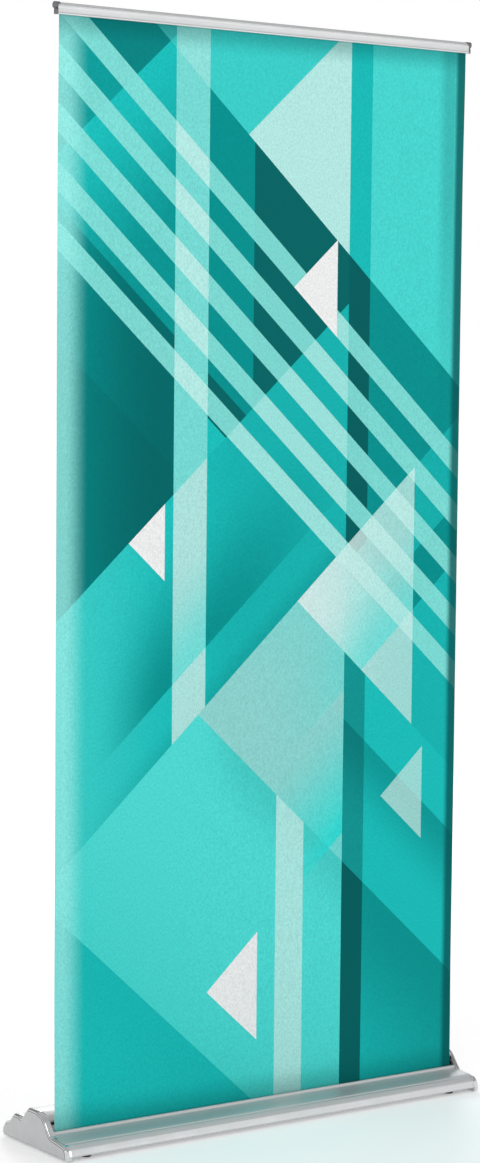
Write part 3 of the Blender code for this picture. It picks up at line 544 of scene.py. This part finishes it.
# %% Bands and stripes
lay(DEEP, 0.08, across=DARK_BAND, falling=(-FAR, UPPER_EDGE))
lay(INK, 0.96, across=DARK_BAND, falling=(UPPER_EDGE, STRIPES_END))
lay(AQUA, 0.60, across=DARK_BAND, falling=(0.32, TRIANGLE_FOOT), rising=(1.7, ACCENT))
lay(INK, 0.52, across=DARK_BAND, falling=(TRIANGLE_FOOT, VALLEY))
lay(INK, 0.92, across=DARK_BAND, falling=(VALLEY, FAR))
STRIPE, STRIPE_STEP, FIRST_STRIPE = 0.056, 0.112, -0.06
starts = [FIRST_STRIPE + STRIPE_STEP * i for i in range(5)]
STRIPES = [(start, start + STRIPE) for start in starts]
for stripe in STRIPES:
    lay(MINT, 0.88, falling=stripe)
    lay(PALE, 0.38, falling=stripe, rising=(RIDGE, FAR), across=INNER)
lay(MINT, 0.78, across=PALE_BAND, rising=(-FAR, RIDGE))
lay(PALE, 0.25, across=PALE_BAND, falling=(-FAR, UPPER_EDGE))
for stripe in STRIPES:
    lay(PALE, 0.75, across=PALE_BAND, falling=stripe)
lay(PALE, 0.78, across=PALE_BAND, rising=BETWEEN_RIDGES)
lay(AQUA, 0.75, [("rising", SHADOW_LINE, 1.30)], across=PALE_BAND, rising=(1.25, SHADOW_LINE))
lay(PALE, 0.72, across=LOW_BAND, falling=(VALLEY, FAR))

# %% Triangles
def triangle(colour, amount, tip_across, tip_down, width):
    """A triangle that points left, with its upright side at the right."""
    lay(
        colour,
        amount,
        across=(tip_across, tip_across + width),
        rising=(tip_down + SLOPE * tip_across, FAR),
        falling=(-FAR, tip_down - SLOPE * tip_across),
    )


BIG_TRIANGLE = {"across": (0.578, 0.880), "rising": BELOW}
CYAN_SIDE = [("rising", ACCENT, 1.74), ("across", 0.76, 0.56)]
lay(PALE, 0.66, falling=(-FAR, TRIANGLE_FOOT), **BIG_TRIANGLE)
lay(PAPER, 0.5, [("across", 0.56, 0.84)], falling=(-FAR, TRIANGLE_FOOT), **BIG_TRIANGLE)
lay(AQUA, 0.70, CYAN_SIDE, across=(0.578, 0.88), falling=(0.0, TRIANGLE_FOOT), rising=(1.7, ACCENT))
for stripe in STRIPES:
    lay(PALE, 0.62, falling=stripe, **BIG_TRIANGLE)
triangle(PAPER, 1.0, 0.560, 0.500, 0.110)
triangle(PAPER, 1.0, 0.165, RIDGE - SLOPE * 0.165, 0.085)
triangle(PAPER, 1.0, 0.360, 1.930, 0.125)
triangle(PALE, 0.62, 0.800, 1.560, 0.110)

# %% [markdown]
# The film is painted darker towards its top and foot, as painted shade under the rail and above the
# cassette. It has a painted highlight down the left side, where the film's edge curls towards the light, and
# painted shade down the right.
# Its surface has a fine canvas grain, so the gloss is broken.

# %% Painted edge highlight and shade, and grain
# painted highlight down the left edge, where the film curls towards the light
lay(PAINTED_EDGE_SHEEN, 0.65, [("across", 0.015, 0.070)], across=(-0.1, 0.08))
# painted shade down the right edge
lay(INK, 0.30, [("across", 0.955, 0.925), ("down", 0.2, 0.9)], across=(0.92, 0.972))
lay(INK, 0.88, [("across", 0.985, 0.968)], across=(0.9, 1.1))
# painted shade under the rail at the top, and above the cassette at the foot
lay(INK, 0.45, [("down", 0.0, 0.05)], down=(-0.1, 0.06))
lay(INK, 0.35, [("down", PRINT_LENGTH, PRINT_LENGTH - 0.06)], down=(1.8, FAR))

fibres = pattern(print_tree, (1, 1, 0.55), 420.0, 4.0)
threads_up = pattern(print_tree, (1, 1, 0.04), 1500.0, 1.0)
threads_over = pattern(print_tree, (0.04, 1, 1), 1500.0, 1.0)
grain_mask = times(ranged(print_tree, fibres, 0, 1, 0.35, 0.75), 0.24)
print_tree.links.new(mixed(print_tree, grain_mask, ink, INK), print_shader.inputs["Base Color"])
weave = sum_of(threads_up, threads_over, 1.0)
print_tree.links.new(ranged(print_tree, fibres, 0.50, 0.66), print_shader.inputs["Roughness"])
bumped(print_tree, print_shader, sum_of(weave, fibres, 0.8), 0.00012)
print_shader.inputs["Specular IOR Level"].default_value = 0.03
print(len(print_tree.nodes), "nodes in the print")

# %% Back of the film
banner_back, back_shader = plain_material("banner_back", (0.60, 0.61, 0.62), 0.6)
back_tree = banner_back.node_tree
back_fibres = pattern(back_tree, (1, 1, 0.55), 420.0, 4.0)
BACK_LIGHT, BACK_DARK = (0.62, 0.63, 0.64), (0.55, 0.56, 0.57)
back_colour = mixed(back_tree, ranged(back_tree, back_fibres, 0, 1), BACK_LIGHT, BACK_DARK)
back_tree.links.new(back_colour, back_shader.inputs["Base Color"])
back_tree.links.new(ranged(back_tree, back_fibres, 0.52, 0.66), back_shader.inputs["Roughness"])
bumped(back_tree, back_shader, back_fibres, 0.00010)

# %% [markdown]
# ## The banner
# The sheet is pulled up out of the cassette and clamped in the snap rail, so it hangs under light
# tension. It starts as a grid, which is given the slight hollow that a wound film keeps across its
# free edges, and then its thickness. A cloth simulation isn't needed for a sheet held this tight.

# %% Banner sheet
SHEET_THICKNESS = 0.0004
CURL_WIDTH, CURL_DEPTH = 0.045, 0.0022      # how far in from an edge the film curls, and how much
RIPPLE, RIPPLE_ACROSS, RIPPLE_UP, RIPPLE_START = 0.0006, 9.0, 3.1, 1.1
CLAMPED_FOOT, CLAMPED_TOP, SETTLE = 0.02, 0.01, 0.25        # held flat near both ends, then free

banner_bottom, banner_top = banner_low[2], banner_high[2]
sheet_mesh = bmesh.new()
bmesh.ops.create_grid(sheet_mesh, x_segments=64, y_segments=140, size=0.5)
bmesh.ops.rotate(sheet_mesh, matrix=Matrix.Rotation(math.pi / 2, 3, "X"), verts=sheet_mesh.verts)
bmesh.ops.scale(sheet_mesh, vec=(BANNER_WIDTH, 1, banner_top - banner_bottom), verts=sheet_mesh.verts)
bmesh.ops.translate(
    sheet_mesh,
    vec=(BANNER_LEFT + BANNER_WIDTH / 2, BANNER_PLANE, (banner_bottom + banner_top) / 2),
    verts=sheet_mesh.verts,
)
for v in sheet_mesh.verts:
    to_ends = min(v.co.z - LIP_TOP - CLAMPED_FOOT, RAIL_FOOT - CLAMPED_TOP - v.co.z)
    free = max(0.0, min(1.0, to_ends / SETTLE))
    free = free * free * (3 - 2 * free)
    to_edge = BANNER_WIDTH / 2 - abs(v.co.x - BANNER_LEFT - BANNER_WIDTH / 2)
    curl = CURL_DEPTH * max(0.0, 1 - to_edge / CURL_WIDTH) ** 2
    wave = RIPPLE * math.sin(v.co.x * RIPPLE_ACROSS + RIPPLE_START) * math.sin(v.co.z * RIPPLE_UP)
    v.co.y += free * (curl + wave)
bmesh.ops.recalc_face_normals(sheet_mesh, faces=sheet_mesh.faces)
for face in sheet_mesh.faces:
    if face.normal.y > 0:
        face.normal_flip()
bmesh.ops.solidify(sheet_mesh, geom=sheet_mesh.faces[:], thickness=SHEET_THICKNESS)
centred = Vector((0, -SHEET_THICKNESS / 2, 0))
bmesh.ops.translate(sheet_mesh, vec=centred, verts=sheet_mesh.verts)
for face in sheet_mesh.faces:
    face.material_index = 0 if face.normal.y < -0.5 else 1
banner = mesh_piece("banner_sheet", sheet_mesh, banner_print, banner_back)
low_y = min(v.co.y for v in banner.data.vertices)
high_y = max(v.co.y for v in banner.data.vertices)
print(f"banner sheet from y {low_y - BANNER_PLANE:.4f} to {high_y - BANNER_PLANE:.4f} of its plane")

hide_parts("banner")
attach(banner, "base")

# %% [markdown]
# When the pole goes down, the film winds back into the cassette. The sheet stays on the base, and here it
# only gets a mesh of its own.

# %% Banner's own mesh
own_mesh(banner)

# %% [markdown]
# The last turn of film stays on the roller. It is a line spun round the roller's axis, and each
# step of the spin is then moved out a little, which makes the spiral of a wound sheet.

# %% Wound film
wound_low, wound_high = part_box("wound_film")
roll_axis = Vector((0, (wound_low[1] + wound_high[1]) / 2, (wound_low[2] + wound_high[2]) / 2))
TURN_STEPS, TURNS = 60, 1.15
FILM, AIR = 0.00028, 1.05       # room for one layer, and how much looser the turns lie
roll_start = (wound_high[2] - wound_low[2]) / 2 - FILM * (TURNS + 0.55)
roll_mesh = bmesh.new()
roll_top = roll_axis.z + roll_start
roll_line = [roll_mesh.verts.new((x, roll_axis.y, roll_top)) for x in (wound_low[0], wound_high[0])]
roll_edge = roll_mesh.edges.new(roll_line)
bmesh.ops.spin(
    roll_mesh,
    geom=roll_line + [roll_edge],
    cent=roll_axis,
    axis=(1, 0, 0),
    angle=2 * math.pi * TURNS,
    steps=round(TURN_STEPS * TURNS),
    use_merge=False,
)
roll_mesh.verts.ensure_lookup_table()
for i, v in enumerate(roll_mesh.verts):
    grown = 1 + FILM * AIR * (i // 2) / TURN_STEPS / roll_start
    v.co.yz = [a + (b - a) * grown for a, b in zip(roll_axis.yz, v.co.yz)]
bmesh.ops.recalc_face_normals(roll_mesh, faces=roll_mesh.faces)
bmesh.ops.solidify(roll_mesh, geom=roll_mesh.faces[:], thickness=FILM * 0.9)
wound = mesh_piece("wound_sheet", roll_mesh, banner_back)
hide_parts("wound_film")
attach(wound, "roller")

# %% [markdown]
# ## End caps
# Each end of the cassette is closed by a moulding with a plated, rounded rim and a flat silver face,
# set off from the rim by a narrow groove. The outline is the cassette's own profile. It could be
# drawn as a curve, but here one face with that outline is extruded ring by ring, and each ring is
# drawn in by its own inset, which gives the rim, the groove and the face in one closed shell.

# %% Outline helpers
def turned_corner(back, here, on, radius, steps):
    """The points of an arc that turns a corner."""
    to_back, to_on = (back - here).normalized(), (on - here).normalized()
    angle = math.pi - to_back.angle(to_on)
    centre = here + (to_back + to_on).normalized() * radius / math.cos(angle / 2)
    spoke = here + to_back * radius * math.tan(angle / 2) - centre
    way = 1 if to_back.cross(to_on) < 0 else -1
    return [centre + Matrix.Rotation(way * angle * k / steps, 2) @ spoke for k in range(steps + 1)]


def cap_ring(depth, steps=8):
    """The cap's outline drawn in by depth: the corners move in, and each keeps a matching radius."""
    corners = [Vector(c[:2]) for c in CAP_CORNERS]
    moved, radii = [], []
    for i, (_, _, radius) in enumerate(CAP_CORNERS):
        back = (corners[i] - corners[i - 1]).normalized()
        on = (corners[(i + 1) % len(corners)] - corners[i]).normalized()
        inward = Vector((back.y + on.y, -back.x - on.x)).normalized()
        moved.append(corners[i] + inward * depth / inward.dot(Vector((on.y, -on.x))))
        radii.append(max(radius - depth, 0.0004) if back.cross(on) < 0 else radius + depth)
    ring = []
    for i, here in enumerate(moved):
        ring += turned_corner(moved[i - 1], here, moved[(i + 1) % len(moved)], radii[i], steps)
    return ring


# %% End caps
cap_low, cap_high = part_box("end_cap_left")
CAP_CORNERS = [                 # (from the banner's plane, height, corner radius), front to rear
    (-0.0700, 0.0010, 0.0015),
    (-0.0715, 0.0105, 0.0100),
    (-0.0672, 0.0225, 0.0070),
    (-0.0600, 0.0290, 0.0080),
    (-0.0340, 0.0325, 0.0300),
    (-0.0145, 0.0348, 0.0080),
    (-0.0035, 0.0480, 0.0300),
    (0.0050, 0.0590, 0.0250),
    (0.0145, 0.0672, 0.0150),
    (0.0310, 0.0725, 0.0200),
    (0.0650, 0.0725, 0.0060),
    (0.0875, 0.0485, 0.0020),
    (0.0970, 0.0506, 0.0060),
    (0.1155, 0.0510, 0.0060),
    (0.1325, 0.0328, 0.0030),
    (0.1445, 0.0312, 0.0080),
    (0.1540, 0.0185, 0.0080),
    (0.1555, 0.0085, 0.0060),
    (0.1500, 0.0010, 0.0040),
]
RIM_START, RIM_END, RIM_INSET = 0.25, 0.93, 0.0042          # shares of the cap's depth, and metres
GROOVE_INSET, GROOVE_WIDTH, GROOVE_FLOOR = 0.0046, 0.0006, 0.78
FACE_EDGE, FACE_ROUND, PAINT_FROM = 0.975, 0.0004, 0.96
RIM_STEPS = 8


def cap_rings():
    """(share of the cap's depth, inset) for each ring, from the cassette outwards."""
    rings = [(RIM_START, 0.0)]
    for k in range(1, RIM_STEPS + 1):
        a = math.pi / 2 * k / RIM_STEPS
        rings.append((RIM_START + (RIM_END - RIM_START) * math.sin(a), RIM_INSET * (1 - math.cos(a))))
    rings.append((RIM_END, GROOVE_INSET))
    rings.append((GROOVE_FLOOR, GROOVE_INSET + 0.0001))
    rings.append((GROOVE_FLOOR, GROOVE_INSET + GROOVE_WIDTH))
    rings.append((FACE_EDGE, GROOVE_INSET + GROOVE_WIDTH))
    rings.append((1.0, GROOVE_INSET + GROOVE_WIDTH + FACE_ROUND))
    return rings


def end_cap(label, inner_x, outer_x):
    """One end cap, from the cassette's side to its outer face."""
    bm = bmesh.new()
    root = [bm.verts.new((inner_x, p.x + BANNER_PLANE, p.y)) for p in cap_ring(0)]
    grown = bm.faces.new(root)
    for share, depth in cap_rings():
        grown = bmesh.ops.extrude_discrete_faces(bm, faces=[grown])["faces"][0]
        x = inner_x + (outer_x - inner_x) * share
        for v, p in zip(grown.verts, cap_ring(depth)):
            v.co = (x, p.x + BANNER_PLANE, p.y)
    bm.faces.new(root)
    bmesh.ops.recalc_face_normals(bm, faces=bm.faces)
    face_start = inner_x + (outer_x - inner_x) * PAINT_FROM
    for face in bm.faces:
        if abs(face.calc_center_median().x) > abs(face_start):
            face.material_index = 1
    piece = mesh_piece(f"cap_{label}", bm, chrome, silver_paint)
    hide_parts(f"end_cap_{label}")
    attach(piece, "base")
    print(piece.name, len(piece.data.polygons), "faces")


end_cap("left", cap_high[0], cap_low[0])
cap_low, cap_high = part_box("end_cap_right")
end_cap("right", cap_low[0], cap_high[0])

# %% [markdown]
# ## Twist collars
# Two collars lock the telescopic pole. Each is a short moulded grip with upright ribs and rounded
# ends, bored for the thicker tube below and the thinner one above. Its section is spun round the
# pole's axis. Then the faces of each rib are inset together and pushed out, which gives the rib
# sloping sides without any boolean cut.

# %% Twist collars
RIBS, FACES_PER_RIB, GAP_FACES = 12, 5, 3
RIB_HEIGHT, RIB_SLOPE, COLLAR_ROUND = 0.0008, 0.00035, 0.0012
FIT = 0.0003                    # running fit on the tubes
SHOULDER_DEPTH = 0.0031         # from the collar's top down to the end of its wide bore


def radius_of(node):
    """Half the width of a round solid."""
    low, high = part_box(node)
    return (high[0] - low[0]) / 2


def collar_section(outer, wide, narrow, low, high):
    """(radius, height) points of the collar's section, with rounded ends."""
    shoulder = high - SHOULDER_DEPTH
    points = [(wide, low), (wide, shoulder), (narrow, shoulder), (narrow, high)]
    for centre_z, start in ((high - COLLAR_ROUND, 90), (low + COLLAR_ROUND, 0)):
        for k in range(5):
            a = math.radians(start - 22.5 * k)
            radius = outer - COLLAR_ROUND + COLLAR_ROUND * math.cos(a)
            points.append((radius, centre_z + COLLAR_ROUND * math.sin(a)))
    return points


def twist_collar(node, thick_tube, thin_tube, body):
    """A ribbed collar in place of the plain one, riding on the same body."""
    low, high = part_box(node)
    centre = Vector(((low[0] + high[0]) / 2, (low[1] + high[1]) / 2, 0))
    outer = radius_of(node) - RIB_HEIGHT
    section = collar_section(outer, radius_of(thick_tube) + FIT, radius_of(thin_tube) + FIT, low[2], high[2])
    bm = bmesh.new()
    verts = [bm.verts.new(centre + Vector((r, 0, z))) for r, z in section]
    edges = [bm.edges.new((verts[i - 1], verts[i])) for i in range(len(verts))]
    steps = RIBS * (FACES_PER_RIB + GAP_FACES)
    bmesh.ops.spin(
        bm,
        geom=verts + edges,
        cent=centre,
        axis=(0, 0, 1),
        angle=2 * math.pi,
        steps=steps,
        use_merge=True,
    )
    bmesh.ops.recalc_face_normals(bm, faces=bm.faces)
    upright = [f for f in bm.faces if f.calc_area() > 1e-6 and abs(f.normal.z) < 0.1]
    wall = [f for f in upright if f.normal.xy.dot((f.calc_center_median() - centre).xy) > 0]
    wall.sort(key=lambda f: math.atan2(*(f.calc_center_median() - centre).xy))
    for i in range(RIBS):
        first = i * (FACES_PER_RIB + GAP_FACES)
        rib = wall[first:first + FACES_PER_RIB]
        bmesh.ops.inset_region(bm, faces=rib, thickness=RIB_SLOPE, depth=RIB_HEIGHT, use_even_offset=True)
    piece = mesh_piece(f"{node}_ribbed", bm, dark_plastic)
    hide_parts(node)
    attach(piece, body)
    print(piece.name, len(wall), "wall faces")


twist_collar("twist_collar_lower", "pole_lower_tube", "pole_middle_tube", "collar_lower")
twist_collar("twist_collar_upper", "pole_middle_tube", "pole_upper_tube", "collar_upper")
